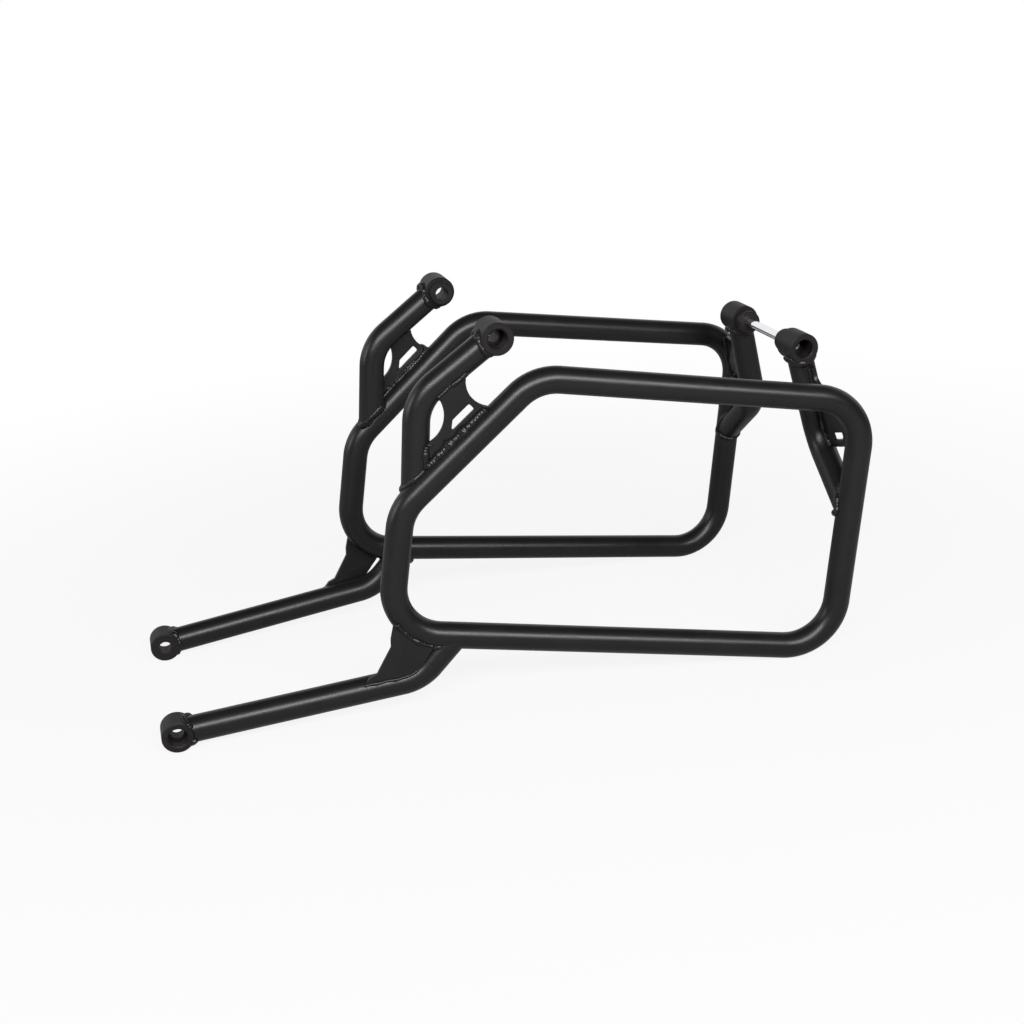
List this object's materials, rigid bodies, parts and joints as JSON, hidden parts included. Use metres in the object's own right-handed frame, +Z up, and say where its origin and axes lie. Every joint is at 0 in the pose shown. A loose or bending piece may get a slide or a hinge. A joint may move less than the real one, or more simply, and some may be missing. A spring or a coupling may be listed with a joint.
{
  "type": "pannier frame",
  "caption": "Pair of welded black tube racks for motorcycle side cases, joined at the rear by a chromed cross rod and bolted through turned bosses.",
  "frame": {"origin": "middle of the footprint on the floor, under the middle of the whole pair", "axes": "+X towards the rear of the motorcycle, +Y towards the right-hand rack, +Z up, standing on the two lower bosses and the rear lower bends of the hoops"},
  "size_m": [0.6932, 0.3244, 0.3671],
  "materials": {
    "frame_black": "satin black powder coat over steel tube and plate",
    "boss_black": "satin black powder coat over turned steel, slightly browner on top",
    "rod_chrome": "bright chrome plate"
  },
  "bodies": {
    "root": {"left_hoop": "frame_black", "left_front_arm": "frame_black", "left_front_boss": "boss_black", "left_front_gusset": "frame_black", "left_lower_strut": "frame_black", "left_lower_boss": "boss_black", "left_lower_gusset": "frame_black", "left_rear_arm": "frame_black", "left_rear_boss": "boss_black", "left_rear_gusset": "frame_black", "right_hoop": "frame_black", "right_front_arm": "frame_black", "right_front_boss": "boss_black", "right_front_gusset": "frame_black", "right_lower_strut": "frame_black", "right_lower_boss": "boss_black", "right_lower_gusset": "frame_black", "right_rear_arm": "frame_black", "right_rear_boss": "boss_black", "right_rear_gusset": "frame_black", "cross_rod": "rod_chrome"}
  },
  "joints": []
}
